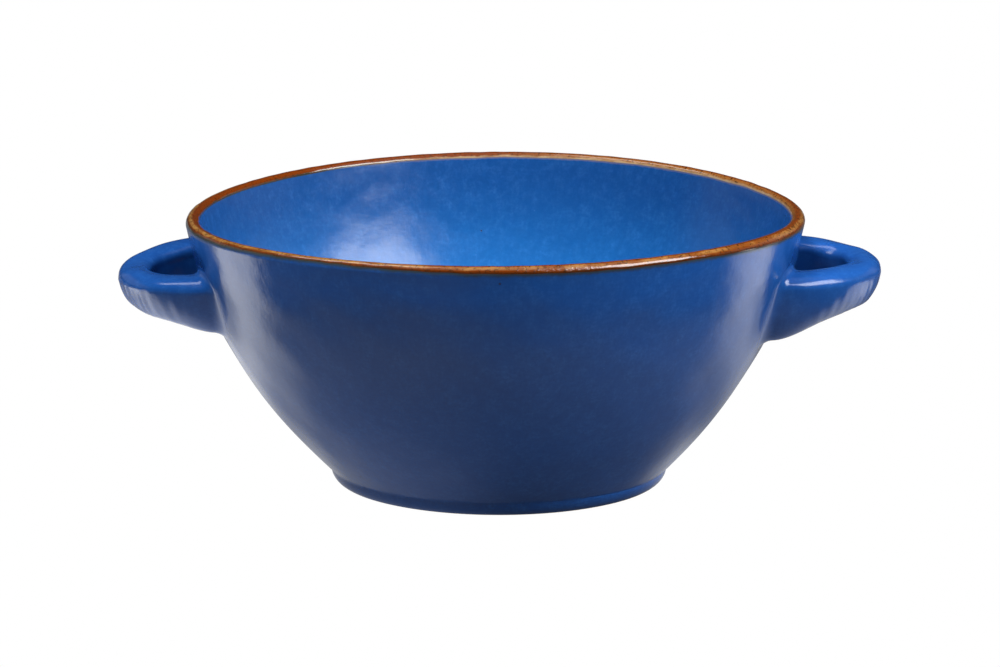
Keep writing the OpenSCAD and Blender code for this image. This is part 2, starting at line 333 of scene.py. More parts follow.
def band_edges():
    """Turns on the lip at which the brown band starts outside and ends inside. It comes
    lower on the right than on the left, and both edges wander as a dipped edge does."""
    wander = soft_waves(SEED + 1, AROUND, 1, lobes=(5, 70), rates=(1, 2))
    drift = soft_waves(SEED + 2, AROUND, 1, lobes=(2, 40), rates=(1, 2))
    start = BAND_START - START_SLANT * np.cos(AROUND) + START_WANDER * wander
    for middle, half, rise in BAND_DIPS:
        away = np.angle(np.exp(1j * (AROUND - math.radians(middle)))) / math.radians(half)
        start += rise * np.exp(-away**2)
    end = BAND_END - END_SLANT * np.cos(AROUND - math.radians(END_WAY)) + END_WANDER * drift
    return np.radians(np.maximum(start, START_LEAST)), np.radians(np.minimum(end, END_MOST))


def settled(points, sizes):
    """The bowl as it left the kiln. Heights and radii change by waves of up to four lobes
    round the bowl, which grow as the square of the height above where they start, and the
    bowl stands a little to one side of its foot."""
    around = np.arctan2(points[..., 1], points[..., 0])
    share = np.clip((points[..., 2] - sizes.sag_from) / (sizes.bowl_h - sizes.sag_from), 0, 1) ** 2
    rise = np.clip(points[..., 2] / sizes.upright_h, 0, 1)
    aside = sizes.off_centre * rise**2 * (3 - 2 * rise)

    def lobes(waves):
        return MM * share * sum(a * np.cos(n * around) + b * np.sin(n * around) for n, a, b in waves)

    radius = np.hypot(points[..., 0], points[..., 1])
    factor = 1 + lobes(RIM_PULL) / np.maximum(radius, sizes.flat_r)
    return np.stack([
        points[..., 0] * factor + aside, points[..., 1] * factor, points[..., 2] + lobes(RIM_SAG)
    ], -1)


def carried(*stretches):
    """Stretches of radius and height as one, with each row carried all the way round."""
    return np.concatenate([np.broadcast_to(part, (len(part), ROUND, 2)) for part in stretches])


def ring(radius, height):
    """A stretch of one row."""
    return np.array([[[radius, height]]])


def turned(line, sizes):
    """Turns rows of radius and height about Z and lets the rim sag."""
    x, y = line[..., 0] * np.cos(AROUND), line[..., 0] * np.sin(AROUND)
    return settled(np.stack([x, y, line[..., 1]], -1), sizes)


def hand_waves(sizes, seed, t, lobes, lengths):
    """Waves that the hands leave on a wall, for the share t of the way up. Their lengths are
    in millimetres, and they fade out at both ends."""
    tall = 2 * np.pi * sizes.bowl_h / MM
    wave = soft_waves(seed, AROUND, t, lobes, (tall / lengths[0], tall / lengths[1]))
    return wave * np.sin(np.pi * (t - t[0]) / (t[-1] - t[0])) ** 0.5


def coat_rows(outline, face, t, depth, lip_start, edge):
    """Rows of a coat up a face of the wall, moved in by depth, and over the lip to its edge,
    then back down against the clay."""
    coat = outline.sizes.coat
    lip = rows(lip_start, edge, LIP_ROWS, (False, True))
    back = face(outline, rows(1, t[0, 0], HIDDEN_ROWS), coat)
    return face(outline, t, depth), lip_arc(outline, lip, 0), lip_arc(outline, lip[::-1], coat), back


def rows(first, last, count, ends=(True, True)):
    """Evenly spaced values as a column, with either end left out if wanted."""
    steps = np.linspace(0, 1, count)[(not ends[0]) : count - (not ends[1])]
    return first + (last - first) * steps[:, None]


def ring_mesh(name, rings, closed, traits):
    """A mesh through rings of points: closed joins the last ring to the first, and
    otherwise each end is closed at its ring's middle. Traits are values at the points.
    Faces are turned so that the enclosed volume is positive."""
    count, sides = rings.shape[:2]
    points = rings.reshape(-1, 3)
    i = np.arange(count if closed else count - 1)[:, None]
    j = np.arange(sides)[None]
    near, far = i * sides, ((i + 1) % count) * sides
    after = (j + 1) % sides
    quads = np.stack([near + j, near + after, far + after, far + j], -1).reshape(-1, 4)
    fans = np.zeros((0, 3), int)
    if not closed:
        points = np.concatenate([points, rings[[0, -1]].mean(1)])
        hub, last = count * sides + 0 * j, (count - 1) * sides
        fans = np.concatenate([
            np.stack([hub, after, j], -1)[0], np.stack([hub + 1, last + j, last + after], -1)[0]
        ])
    corners = np.concatenate([quads[:, [0, 1, 2]], quads[:, [0, 2, 3]], fans])
    a, b, c = (points[corners[:, k]] for k in range(3))
    if np.einsum("ij,ij->i", a, np.cross(b, c)).sum() < 0:
        quads, fans = quads[:, ::-1], fans[:, ::-1]
    mesh = bpy.data.meshes.new(name)
    mesh.from_pydata(points.tolist(), [], quads.tolist() + fans.tolist())
    mesh.polygons.foreach_set("use_smooth", np.ones(len(mesh.polygons), bool))
    mesh.set_sharp_from_angle(angle=SHARP_ANGLE)
    for label, values in traits.items():
        flat = np.zeros(len(points), np.float32)
        flat[: count * sides] = np.broadcast_to(values, (count, sides)).ravel()
        mesh.attributes.new(label, "FLOAT", "POINT").data.foreach_set("value", flat)
    mesh.update()
    if mesh.validate():
        raise RuntimeError(f"{name} has faces that Blender can't keep")
    return mesh


def place(context, name, rings, finish, slot, *nodes, closed=False, **traits):
    """Makes a piece from its rings, in place of the CAD nodes that it shows."""
    mesh = ring_mesh(name, rings, closed, traits)
    mesh.materials.append(finishes(context)[finish])
    piece = bpy.data.objects.new(name, mesh)
    context.scene.collection.objects.link(piece)
    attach(piece, BODY)
    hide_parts(*nodes)


class Mark:
    """A socket that gives a value or a colour. Finishes are worked out with marks as with
    numbers, and each step adds a shader node."""

    def __init__(self, socket):
        self.socket = socket
        self.tree = socket.id_data

    def __add__(self, other):
        return calc(self.tree, "ADD", self, other)

    def __sub__(self, other):
        return calc(self.tree, "SUBTRACT", self, other)

    def __rsub__(self, other):
        return calc(self.tree, "SUBTRACT", other, self)

    def __mul__(self, other):
        return calc(self.tree, "MULTIPLY", self, other)

    def __truediv__(self, other):
        return calc(self.tree, "DIVIDE", self, other)


def join(value, socket):
    """Joins a mark to a socket, or gives the socket a plain value."""
    if isinstance(value, Mark):
        value.tree.links.new(value.socket, socket)
    else:
        socket.default_value = value


def node(tree, kind, inputs=None, **settings):
    """Adds a shader node and gives its outputs. Inputs are marks or plain values."""
    made = tree.nodes.new(kind)
    for key, value in settings.items():
        setattr(made, key, value)
    for key, value in (inputs or {}).items():
        join(value, made.inputs[key])
    return made.outputs


def calc(tree, operation, *terms):
    """A Math node on marks or numbers."""
    return Mark(node(tree, "ShaderNodeMath", dict(enumerate(terms)), operation=operation)[0])


def blend(tree, share, first, second, mode="MIX"):
    """A mix of two colours, which are marks or plain colours."""
    first, second = (c if isinstance(c, Mark) else (*c, 1) for c in (first, second))
    inputs = {0: share, 6: first, 7: second}
    return Mark(node(tree, "ShaderNodeMix", inputs, data_type="RGBA", blend_type=mode)[2])


def layered(tree, paint, *layers):
    """Lays colours over a paint, each by its share."""
    for share, laid in layers:
        paint = blend(tree, share, paint, laid)
    return paint


def span(value, low, high, to_low=0.0, to_high=1.0):
    """A smooth step of a mark from one range to another."""
    inputs = {"Value": value, "From Min": low, "From Max": high, "To Min": to_low, "To Max": to_high}
    kind = "ShaderNodeMapRange"
    return Mark(node(value.tree, kind, inputs, interpolation_type="SMOOTHSTEP")["Result"])


def noise(spot, scale, detail=2.0, rough=0.5):
    """Noise as a value between 0 and 1."""
    inputs = {"Vector": spot, "Scale": scale, "Detail": detail, "Roughness": rough}
    return Mark(node(spot.tree, "ShaderNodeTexNoise", inputs)["Fac"])


def axes(spot):
    """X, Y and Z of a place."""
    return [Mark(part) for part in node(spot.tree, "ShaderNodeSeparateXYZ", {0: spot})]


def trait(tree, name):
    """The values that a mesh holds at its points under a name."""
    return Mark(node(tree, "ShaderNodeAttribute", attribute_name=name)["Fac"])


def stretched(spot, scale):
    """A place scaled alike, or apart along X, Y and Z."""
    inputs = {0: spot, 1: scale}
    return Mark(node(spot.tree, "ShaderNodeVectorMath", inputs, operation="MULTIPLY")[0])


def glaze_drift(given):
    """Broad clouds, a fine mottle and short streaks that run down."""
    near = stretched(given["Place"], given["Scale"])
    return {
        "Cloud": span(noise(near, 38, 3), 0.32, 0.68),
        "Mottle": span(noise(stretched(near, (1, 1, 0.7)), 340, 3, 0.6), 0.3, 0.7),
        "Streak": span(noise(stretched(near, (1, 1, 0.22)), 260), 0.34, 0.66),
    }


def pits_and_specks(given):
    """Round spots in a share of the cells of a pattern, stronger towards their middle."""
    found = {}
    tree = given["Place"].tree
    for label, scale, wide in (("Pit", 210, 0.075), ("Speck", 330, 0.07)):
        cells = node(tree, "ShaderNodeTexVoronoi", {"Vector": given["Place"], "Scale": scale})
        chance = Mark(node(tree, "ShaderNodeSeparateColor", {0: Mark(cells["Color"])})[0])
        inside = calc(tree, "MAXIMUM", 1 - Mark(cells["Distance"]) / (chance * wide + wide), 0)
        found[label] = inside * calc(tree, "LESS_THAN", chance, given["Share"])
    return found


def linen_marks(given):
    """Two crossed sets of drawn out noise, and a fine grain."""
    along, across = (
        span(noise(stretched(given["Place"], scale), given["Scale"], 1), 0.3, 0.7)
        for scale in ((0.65, 0.65, 1.5), (1.5, 1.5, 0.65))
    )
    grain = noise(given["Place"], 1700, 2, 0.6)
    return {"Thread": (along + across) * 0.5, "Grain": span(grain, 0.3, 0.7)}


def iron_bleed(given):
    """The share of iron by the distance from the band, over a ragged reach, and the share of
    the paler break, which goes twice as far."""
    ragged = noise(given["Place"], 900) * 0.9 + 0.55
    share = given["Distance"] / (given["Reach"] * ragged)
    return {"Iron": span(share, 1, 0.1), "Break": span(share, 2, 0.1)}


# The effects that the finishes share: name, formula and inputs besides the place
EFFECTS = (
    ("Glaze drift", glaze_drift, ("Scale",)), ("Pits and specks", pits_and_specks, ("Share",)),
    ("Linen marks", linen_marks, ("Scale",)), ("Iron bleed", iron_bleed, ("Distance", "Reach")),
)


def make_effects():
    """Builds each effect as a node group."""
    for name, formula, labels in EFFECTS:
        tree = bpy.data.node_groups.new(name, "ShaderNodeTree")
        new_socket = tree.interface.new_socket
        new_socket("Place", in_out="INPUT", socket_type="NodeSocketVector")
        for label in labels:
            new_socket(label, in_out="INPUT", socket_type="NodeSocketFloat")
        given = node(tree, "NodeGroupInput")
        results = formula({label: Mark(given[label]) for label in ("Place", *labels)})
        for label in results:
            new_socket(label, in_out="OUTPUT", socket_type="NodeSocketFloat")
        out = tree.nodes.new("NodeGroupOutput")
        for label, mark in results.items():
            join(mark, out.inputs[label])


def use(tree, name, **inputs):
    """Places an effect in a material."""
    given = node(tree, "ShaderNodeGroup", inputs, node_tree=bpy.data.node_groups[name])
    return {socket.name: Mark(socket) for socket in given}


def new_finish(name):
    """A material's tree, its shader's inputs and the object coordinates that it reads."""
    finish = bpy.data.materials.new(name)
    finish.use_nodes = True
    tree = finish.node_tree
    spot = Mark(node(tree, "ShaderNodeTexCoord")["Object"])
    return tree, tree.nodes["Principled BSDF"].inputs, spot


def bumped(tree, shader, height, distance):
    """Joins a height to the shader's normal."""
    bump = node(tree, "ShaderNodeBump", {"Height": height, "Distance": distance})
    join(Mark(bump["Normal"]), shader["Normal"])


def mm(*values):
    """Millimetres in metres."""
    return [value * MM for value in values]


# Heights over which painted light makes the blue brighter: down inside, up to the lip
# outside, and down to the foot at the front right, over the places along X that follow
INSIDE_PAINTED_LIGHT, LIP_PAINTED_LIGHT, FOOT_PAINTED_LIGHT = mm(66, 24), mm(52, 63), mm(15, 5)
FOOT_LIGHT_EDGE, FOOT_LIGHT_SIDE = mm(2, 4), mm(2, 32)
# Places along X over which the band's edges turn from olive to cream and dark and the
# brown's painted highlight wanes, the band turns orange, and its crest turns golden with a
# painted glint
PALE_SIDE, ORANGE_SIDE, WARM_GLINT_SIDE = mm(-48, -10), mm(10, 72), mm(-8, 30)
# The dry stretch of the lip at the front: its left and right ends, and its reach along Y
DRY_LEFT, DRY_RIGHT, DRY_FRONT = mm(-4, 8), mm(27, 18), mm(0, -20)
# Tint of the blue where the coat lies thick
THICK = (0.66, 0.66, 0.72)


def blue_finish(name, colours, rough, scale=1, linen=0.5, iron_reach=0, inside=False, lug=False):
    """Cobalt glaze: clouded, mottled and streaked with a thicker, darker coat, with linen
    marks and grain, a few pinholes and pale specks, and iron where it meets the brown band.
    Inside the bowl it grows brighter down the wall as painted light, outside painted light
    makes it brighter under the lip and at the foot's right, and on a lug painted shade darkens
    the finger gap."""
    tree, shader, spot = new_finish(name)
    x, _, z = axes(spot)
    drift = use(tree, "Glaze drift", Place=spot, Scale=scale)
    marks = use(tree, "Pits and specks", Place=spot, Share=0.05)
    weave = use(tree, "Linen marks", Place=spot, Scale=760 if inside else 900)
    main = colours.inside if inside else colours.blue
    if inside:
        # Painted light: the inner blue grows brighter down the wall
        main = blend(tree, span(z, *INSIDE_PAINTED_LIGHT), main, colours.bright)
    elif not lug:
        # Painted light: brighter blue up to the lip and down to the foot at the front right
        low = span(z, *FOOT_PAINTED_LIGHT) * span(x, *FOOT_LIGHT_SIDE) * span(z, *FOOT_LIGHT_EDGE)
        high = span(z, *LIP_PAINTED_LIGHT, 0, 0.6)
        main = layered(tree, main, (high, colours.outer_lit_blue), (low, colours.outer_lit_blue))
    thick = blend(tree, 1, main, THICK, "MULTIPLY")
    paint = layered(
        tree, thick, (drift["Cloud"] * 0.3 + 0.65, main), (drift["Mottle"] * 0.14, colours.pale),
        (drift["Mottle"] * -0.5 + 0.5, thick), (drift["Streak"] * 0.25, thick),
        (weave["Thread"] * linen, thick), (weave["Grain"] * 0.5, thick),
        (marks["Speck"] * 0.5, colours.pale), (marks["Pit"] * 1.6, colours.pit),
    )
    if lug:
        # Painted shade: the strap's inner side in the finger gap is darkened
        pooled = trait(tree, "pooled") * 0.7
        paint = blend(tree, pooled, paint, [0.25 * c for c in colours.gap_shade_blue])
    if iron_reach:
        away = trait(tree, "to_band")
        iron = use(tree, "Iron bleed", Place=spot, Distance=away, Reach=iron_reach)
        share = iron["Iron"]
        if inside:
            right = span(x, *PALE_SIDE)
            # Pale break at the band's edge on the right, partly a painted glint
            paint = blend(tree, iron["Break"] * (right * 0.3), paint, colours.cream)
            share = share * (right * -0.75 + 1)
        paint = blend(tree, share * 0.9, paint, colours.olive)
    join(paint, shader["Base Color"])
    join(drift["Mottle"] * 0.05 + rough + marks["Pit"] * 0.4, shader["Roughness"])
    height = weave["Thread"] * 0.8 + drift["Mottle"] * 0.4
    height = height + weave["Grain"] * (0.1 if inside else 0.25)
    height = height + noise(spot, 105, 2.5) * (3 if lug else 15)
    bumped(tree, shader, height - marks["Pit"] * 2, 0.012 * MM)
    shader["IOR"].default_value = 1.5


def brown_finish(colours):
    """Iron glaze on the lip, russet at the left and oranger at the right. Across the band it
    runs from olive or dark at the outer edge over golden breaks, which carry a painted
    highlight that is stronger at the left, to a red brown crest, golden at the front right,
    and ends olive at the left and cream at the right; the golden and cream on the right of
    the lip's inner side are partly pale glaze and partly a painted glint. Dark specks lie all
    over it, and a stretch at the front is dry and gritty."""
    tree, shader, spot = new_finish("Brown lip glaze")
    x, y, _ = axes(spot)
    coarse = noise(spot, 330, 3, 0.6)
    fine = noise(spot, 1500, 2, 0.6)
    runs = span(noise(spot, 120, 4, 0.7), 0.42, 0.6)
    across = (coarse - 0.5) * 0.22 + trait(tree, "across")
    right = span(x, *ORANGE_SIDE)
    pale = span(x, *PALE_SIDE)
    # Golden breaks with a painted highlight, stronger at the left of the lip
    gold_break_and_glint = span(across, 0.14, 0.26) * span(across, 0.5, 0.36) * (runs * 0.45 + (pale * -0.25 + 0.4))
    # Golden break and painted glint on the lip's inner side at the right
    warm_break_and_glint = span(across, 0.6, 0.8) * span(x, *WARM_GLINT_SIDE)
    specks = span(fine, 0.52, 0.66) * (right * 0.25 + 0.7)
    outer = blend(tree, pale, colours.olive, colours.dark)
    # The inner edge turns cream at the right, partly a painted glint
    inner = blend(tree, pale, colours.olive, colours.cream)
    paint = layered(
        tree, colours.russet, (right * 0.25, colours.orange), (gold_break_and_glint, colours.golden),
        (warm_break_and_glint * 0.35, colours.golden), (span(across, 0.16, 0.02) * 0.8, outer),
        (specks, colours.dark), (span(across, 0.85, 0.95) * (runs * 0.4 + 0.5), inner),
    )
    dry = span(x, *DRY_LEFT) * span(x, *DRY_RIGHT) * span(y, *DRY_FRONT)
    join(paint, shader["Base Color"])
    join(coarse * 0.1 + 0.03 + dry * 0.07, shader["Roughness"])
    bumped(tree, shader, coarse * 2 + fine * (dry * 8 + 1.2), 0.02 * MM)
    shader["IOR"].default_value = 1.7


def clay_finish(colours):
    """Bare stoneware: matt, sandy and flecked with iron."""
    tree, shader, spot = new_finish("Bare stoneware")
    grain = noise(spot, 1500, 3, 0.7)
    paint = layered(
        tree, colours.clay, (span(noise(spot, 90, 3), 0.3, 0.7), [0.82 * c for c in colours.clay]),
        (span(grain, 0.55, 0.75) * 0.7, colours.clay_dark),
    )
    join(paint, shader["Base Color"])
    join(grain * 0.2 + 0.7, shader["Roughness"])
    bumped(tree, shader, grain, 0.06 * MM)


def finishes(context):
    """The finishes, made once."""
    if "Outer blue glaze" not in bpy.data.materials:
        colours = context.scene.glaze_colours
        make_effects()
        blue_finish("Outer blue glaze", colours, 0.13, linen=0.8, iron_reach=1.1 * MM)
        blue_finish(
            "Inner blue glaze", colours, 0.22, scale=1.2, linen=0.75, iron_reach=0.3 * MM, inside=True
        )
        blue_finish("Lug blue glaze", colours, 0.12, scale=1.3, lug=True)
        brown_finish(colours)
        clay_finish(colours)
    return bpy.data.materials


class LUGBOWL_OT_clay(bpy.types.Operator):
    """Throw the clay body under the coats and give the foot its bare clay"""

    bl_idname = "lugbowl.clay"
    bl_label = "Clay body and foot"

    def execute(self, context):
        """One closed line turned about Z: under the floor, up the wall, over the lip and
        back down the inside, a coat under the glaze."""
        sizes = context.scene.bowl_sizes
        outline = bowl_outline(sizes)
        coat = sizes.coat
        floor = sizes.foot_h + sizes.floor_t - coat
        hub = CLAY_HUB * sizes.flat_r
        up, over, down, bend = CLAY_ROWS
        line = carried(
            ring(hub, sizes.foot_h), ring(sizes.foot_r - coat, sizes.foot_h),
            outer_wall(outline, rows(0, 1, up), coat),
            lip_arc(outline, rows(outline.lip_out, outline.lip_in, over, (False, False)), coat),
            inner_wall(outline, rows(1, CORNER_END, down), coat),
            floor_corner(outline, rows(1, 0, bend, (False, True)), coat), ring(hub, floor),
        )
        body = turned(line, sizes)
        place(context, "thrown_clay_body", body, "Bare stoneware", "bare_clay", "bowl_body")
        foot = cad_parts["foot_ring"].data.materials
        foot.clear()
        foot.append(finishes(context)["Bare stoneware"])
        return {"FINISHED"}


class LUGBOWL_OT_outer_glaze(bpy.types.Operator):
    """Coat the outside, from the foot to the brown band"""

    bl_idname = "lugbowl.outer_glaze"
    bl_label = "Outer glaze"

    def execute(self, context):
        """Rows up the foot's curl, up the wall and round the lip to the band's edge, with
        the waves of the hands on the wall, then back down against the clay."""
        sizes = context.scene.bowl_sizes
        outline = bowl_outline(sizes)
        start, _ = band_edges()
        bare = math.asin(1 - sizes.bare_h / sizes.foot_h)
        foot = rows(bare, 0, FOOT_ROWS, (True, False))
        t = rows(0, 1, WALL_ROWS)
        waves = hand_waves(sizes, SEED + 3, t, lobes=(3, 26), lengths=(60, 14))
        depth = -sizes.wall_wave * waves
        line = carried(
            foot_side(outline, foot, sizes.coat),
            *coat_rows(outline, outer_wall, t, depth, outline.lip_out, start),
            foot_side(outline, foot[::-1], 0),
        )
        away = np.linalg.norm(line - lip_arc(outline, start, 0), axis=-1)
        place(
            context, "glazed_outside", turned(line, sizes), "Outer blue glaze",
            "outer_blue_glaze", "outer_glaze", closed=True, to_band=away,
        )
        return {"FINISHED"}


class LUGBOWL_OT_inner_glaze(bpy.types.Operator):
    """Coat the inside, from the middle of the floor to the brown band"""

    bl_idname = "lugbowl.inner_glaze"
    bl_label = "Inner glaze"

    def execute(self, context):
        """Rows out over the floor, round its corner, up the wall and over the lip to the
        band's edge, then back against the clay."""
        sizes = context.scene.bowl_sizes
        outline = bowl_outline(sizes)
        _, end = band_edges()
        floor = sizes.foot_h + sizes.floor_t
        out = rows(FLOOR_HUB, 1, FLOOR_ROWS, (True, False)) * sizes.flat_r
        bend = rows(0, 1, CORNER_ROWS, (True, False))
        t = rows(CORNER_END, 1, INNER_ROWS)
        waves = hand_waves(sizes, SEED + 4, t, lobes=(3, 30), lengths=(50, 10))
        depth = -INNER_WAVE * sizes.wall_wave * waves
        flat = np.stack([out, floor + 0 * out], -1)
        line = carried(
            flat, floor_corner(outline, bend, 0),
            *coat_rows(outline, inner_wall, t, depth, outline.lip_in, end),
            floor_corner(outline, bend[::-1], sizes.coat), flat[::-1] - [0, sizes.coat],
        )
        away = np.linalg.norm(line - lip_arc(outline, end, 0), axis=-1)
        place(
            context, "glazed_inside", turned(line, sizes), "Inner blue glaze",
            "inner_blue_glaze", "inner_glaze", to_band=away,
        )
        return {"FINISHED"}


class LUGBOWL_OT_rim_band(bpy.types.Operator):
    """Lay the brown iron glaze over the lip"""

    bl_idname = "lugbowl.rim_band"
    bl_label = "Brown lip band"

    def execute(self, context):
        """Rows over the lip between the band's two wandering edges, swollen in between,
        then back under the coat."""
        sizes = context.scene.bowl_sizes
        outline = bowl_outline(sizes)
        start, end = band_edges()
        share = rows(0, 1, BAND_ROWS)
        turn = start + (end - start) * share
        lumps = soft_waves(SEED + 5, AROUND, share, lobes=(8, 90), rates=(3, 12))
        swell = (1 - (2 * share - 1) ** 8) * (1 + 0.25 * lumps)
        line = carried(
            lip_arc(outline, turn, -sizes.band_rise * swell),
            lip_arc(outline, turn[::-2], sizes.coat),
        )
        across = np.concatenate([share, share[::-2]])
        place(
            context, "brown_lip_band", turned(line, sizes), "Brown lip glaze", "brown_glaze",
            "rim_band", closed=True, across=across,
        )
        return {"FINISHED"}


def lug_shape(context, hand):
    """The numbers of the lug on the hand 1, the right, or -1, and the wall that it meets. The
    left lug is turned half round the axis later, so its tilt changes sign."""
    bowl, lugs = context.scene.bowl_sizes, context.scene.lug_sizes
    wall = outer_wall(bowl_outline(bowl), np.linspace(0, 1, WALL_POINTS), 0)
    level = bowl.bowl_h - lugs.drop
    centre = np.interp(level, wall[:, 1], wall[:, 0]) - lugs.inset
    own = ("tip", "root", "lift", "tilt", "sag", "fold", "lean")
    lug = SimpleNamespace(**{key: getattr(lugs, key)[hand < 0] for key in own})
    lug.reach = lug.tip - centre - lugs.tip_w / 2
    lug.half = lugs.half_w - lugs.root_w / 2
    lug.tilt *= hand
    lug.lugs, lug.wall, lug.level, lug.centre = lugs, wall, level, centre
    lug.seed = LUG_SEEDS[hand]
    return lug


def power(x, p):
    """A power that keeps the sign."""
    return np.sign(x) * np.abs(x) ** p


def strap(lug, q, v):
    """A point on the strap at the turn q round the loop and v round the section, and the
    direction square to it. The middle line is half an ellipse, straight inwards past its
    ends. The section is a squared oval, deeper at the roots and leaning in below."""
    lugs = lug.lugs
    bend = np.clip(np.abs(q), 0, np.pi / 2)
    past = np.abs(q) > np.pi / 2
    x = np.where(past, lug.centre * (2 - np.abs(q) * 2 / np.pi), lug.centre + lug.reach * np.cos(q))
    y = lug.half * np.sign(q) * np.sin(bend)
    side = unit(np.stack([lug.half * np.cos(bend), lug.reach * np.sign(q) * np.sin(bend)], -1))
    sunk = 1 - np.cos(bend)
    root = (sunk**2 * (3 - 2 * sunk)) ** 1.5
    wide = (lugs.tip_w + (lugs.root_w - lugs.tip_w) * np.sin(bend) ** 2) / 2
    tall = np.where(np.sin(v) > 0, lugs.rise, lugs.fall + lug.root * root)
    across = wide * power(np.cos(v), 2 / lugs.square)
    up = tall * power(np.sin(v), 2 / lugs.square)
    off = across + lug.lean * np.minimum(up, 0)
    z = lug.level + lug.lift + lug.tilt * np.sign(q) * np.sin(bend) - lug.sag * np.cos(bend) + up
    p = 2 - 2 / lugs.square
    slope = unit(np.stack([power(np.cos(v), p) / wide, power(np.sin(v), p) / tall], -1))
    square = np.concatenate([slope[..., :1] * side, slope[..., 1:]], -1)
    point = np.concatenate([np.stack([x, y], -1) + off[..., None] * side, z[..., None]], -1)
    lump = lugs.lump * soft_waves(lug.seed, v, q, lobes=(1, 5), rates=(3, 11))
    fold = lug.fold * soft_waves(lug.seed + 3, v, q, lobes=(0, 2), rates=(16, 62))
    fold = fold * np.clip(1.4 * np.cos(v), 0, 1) * np.clip(0.4 - 2 * np.sin(v), 0, 1)
    return point + ((lump + fold) * (1 - root))[..., None] * square, square


def meets_wall(lug, v, gap, sign):
    """The turn at which each line v of the strap stands the distance gap off the wall,
    found by halving."""
    near, far = np.zeros_like(v), np.full_like(v, np.pi)
    for _ in range(HALVINGS):
        middle = (near + far) / 2
        point, _ = strap(lug, sign * middle, v)
        stands = np.hypot(point[:, 0], point[:, 1]) - np.interp(
            point[:, 2], lug.wall[:, 1], lug.wall[:, 0]
        )
        near, far = np.where(stands > gap, middle, near), np.where(stands > gap, far, middle)
    return (near + far) / 2


def slip_ring(lug, v, gap, height, sign):
    """A ring of the slip fillet: the strap's ring at the distance gap off the wall, raised
    by height and set back to that distance."""
    turn = sign * meets_wall(lug, v, gap, sign)
    point, square = strap(lug, turn, v)
    point = point + height * square
    r = np.interp(point[:, 2], lug.wall[:, 1], lug.wall[:, 0]) + gap
    point[:, :2] *= (r / np.hypot(point[:, 0], point[:, 1]))[:, None]
    return point


def lug_rings(lug):
    """Rings from the front root round the loop to the back root, and the share of painted shade
    on the strap's inner side, round the section, that darkens the finger gap. At each root a
    quarter round of slip flares on to the wall and ends inside it."""
    v = np.arange(STRAP_SIDES) * (2 * np.pi / STRAP_SIDES)
    r = lug.lugs.slip_r
    turns = np.linspace(math.pi / 2, 0, FILLET_RINGS)[:-1]
    gaps = [-lug.lugs.embed, -0.12 * r, *(r * (1 - np.sin(turns)))]
    heights = [1.3 * r, 1.14 * r, *(r * (1 - np.cos(turns)))]
    front, back = (meets_wall(lug, v, r, sign) for sign in (-1, 1))
    q = rows(-front, back, LOOP_RINGS)
    loop, _ = strap(lug, q, np.broadcast_to(v, q.shape))
    front, back = (
        [slip_ring(lug, v, gap, height, sign) for gap, height in zip(gaps, heights)]
        for sign in (-1, 1)
    )
    # Painted shade on the strap's inner side, fading towards its top
    pooled = np.clip(-np.cos(v) * 1.6 - 0.5, 0, 1) * np.clip(1.5 - 1.9 * np.sin(v), 0, 1)
    return np.concatenate([front, loop, back[::-1]]), pooled


class LUGBOWL_OT_lugs(bpy.types.Operator):
    """Pull the two loop lugs and join them with slip"""

    bl_idname = "lugbowl.lugs"
    bl_label = "Loop lugs"

    def execute(self, context):
        """The left lug is made as the right one is, and turned half round the axis."""
        for side, hand in (("right", 1), ("left", -1)):
            rings, pooled = lug_rings(lug_shape(context, hand))
            rings = settled(rings * [hand, hand, 1], context.scene.bowl_sizes)
            place(
                context, f"{side}_lug", rings, "Lug blue glaze", "outer_blue_glaze",
                f"{side}_handle", f"{side}_handle_slip", pooled=pooled,
            )
        return {"FINISHED"}


class LUGBOWL_OT_base_glaze(bpy.types.Operator):
    """Pool the glaze under the floor, inside the foot ring"""

    bl_idname = "lugbowl.base_glaze"
    bl_label = "Base glaze"

    def execute(self, context):
        """A round pool, flat in the middle, that climbs the foot's inner side in a small
        meniscus."""
        sizes = context.scene.bowl_sizes
        out = rows(BASE_HUB, 1, BASE_ROWS)
        climb = 1.6 * sizes.coat * np.clip((out - 1 + MENISCUS) / MENISCUS, 0, 1) ** 3
        wave = 0.12 * sizes.coat * soft_waves(SEED + 8, AROUND, out, lobes=(1, 9), rates=(4, 40))
        level = sizes.foot_h - sizes.coat - climb - wave * (1 - out**8)
        line = carried(
            np.stack([out * sizes.recess_r + 0 * level, level], -1),
            ring(sizes.recess_r, sizes.foot_h), ring(BASE_HUB * sizes.recess_r, sizes.foot_h),
        )
        pool = turned(line, sizes)
        place(
            context, "pooled_base_glaze", pool, "Lug blue glaze", "outer_blue_glaze", "base_glaze"
        )
        return {"FINISHED"}


def heading(turn, height):
    """The unit vector at a turn from the camera towards the right, and a height."""
    return Vector((
        math.sin(turn) * math.cos(height), -math.cos(turn) * math.cos(height), math.sin(height)
    ))


# Rings of light on the table: distance from the axis and half width
FRONT_RING, FOOT_RING = mm(98, 45), mm(47, 14)
# Where the foot's ring starts and is full: to either side, towards the back, brighter to the
# right, and a lesser part in front to the left
FOOT_ASIDE, FOOT_BACK, FOOT_RIGHT, FOOT_LEFT = mm(20, 44), mm(-29, -5), mm(0, 40), mm(8, -20)
# The haze over the left of the table, along X
HAZE = mm(10, -50)
# The bright ends of the table: their front edge, the shaded back corner beyond a slanted edge
# and a distance aside, with the distance at which that edge turns, and the dimmer far part
FRONT_EDGE, CORNER_EDGE, CORNER_SIDE = mm(-55, -23), mm(-112, -80), mm(90, 115)
CORNER_TURN, FAR_SIDE = 145 * MM, mm(220, 400)
WHITE = (1, 1, 1, 1)


def white_to_camera(tree, level):
    """A level of light that the bowl mirrors, and plain white where the camera sees it."""
    seen = Mark(node(tree, "ShaderNodeLightPath")["Is Camera Ray"])
    return Mark(node(tree, "ShaderNodeMix", {"Factor": seen, "A": level, "B": 1.0})[0])


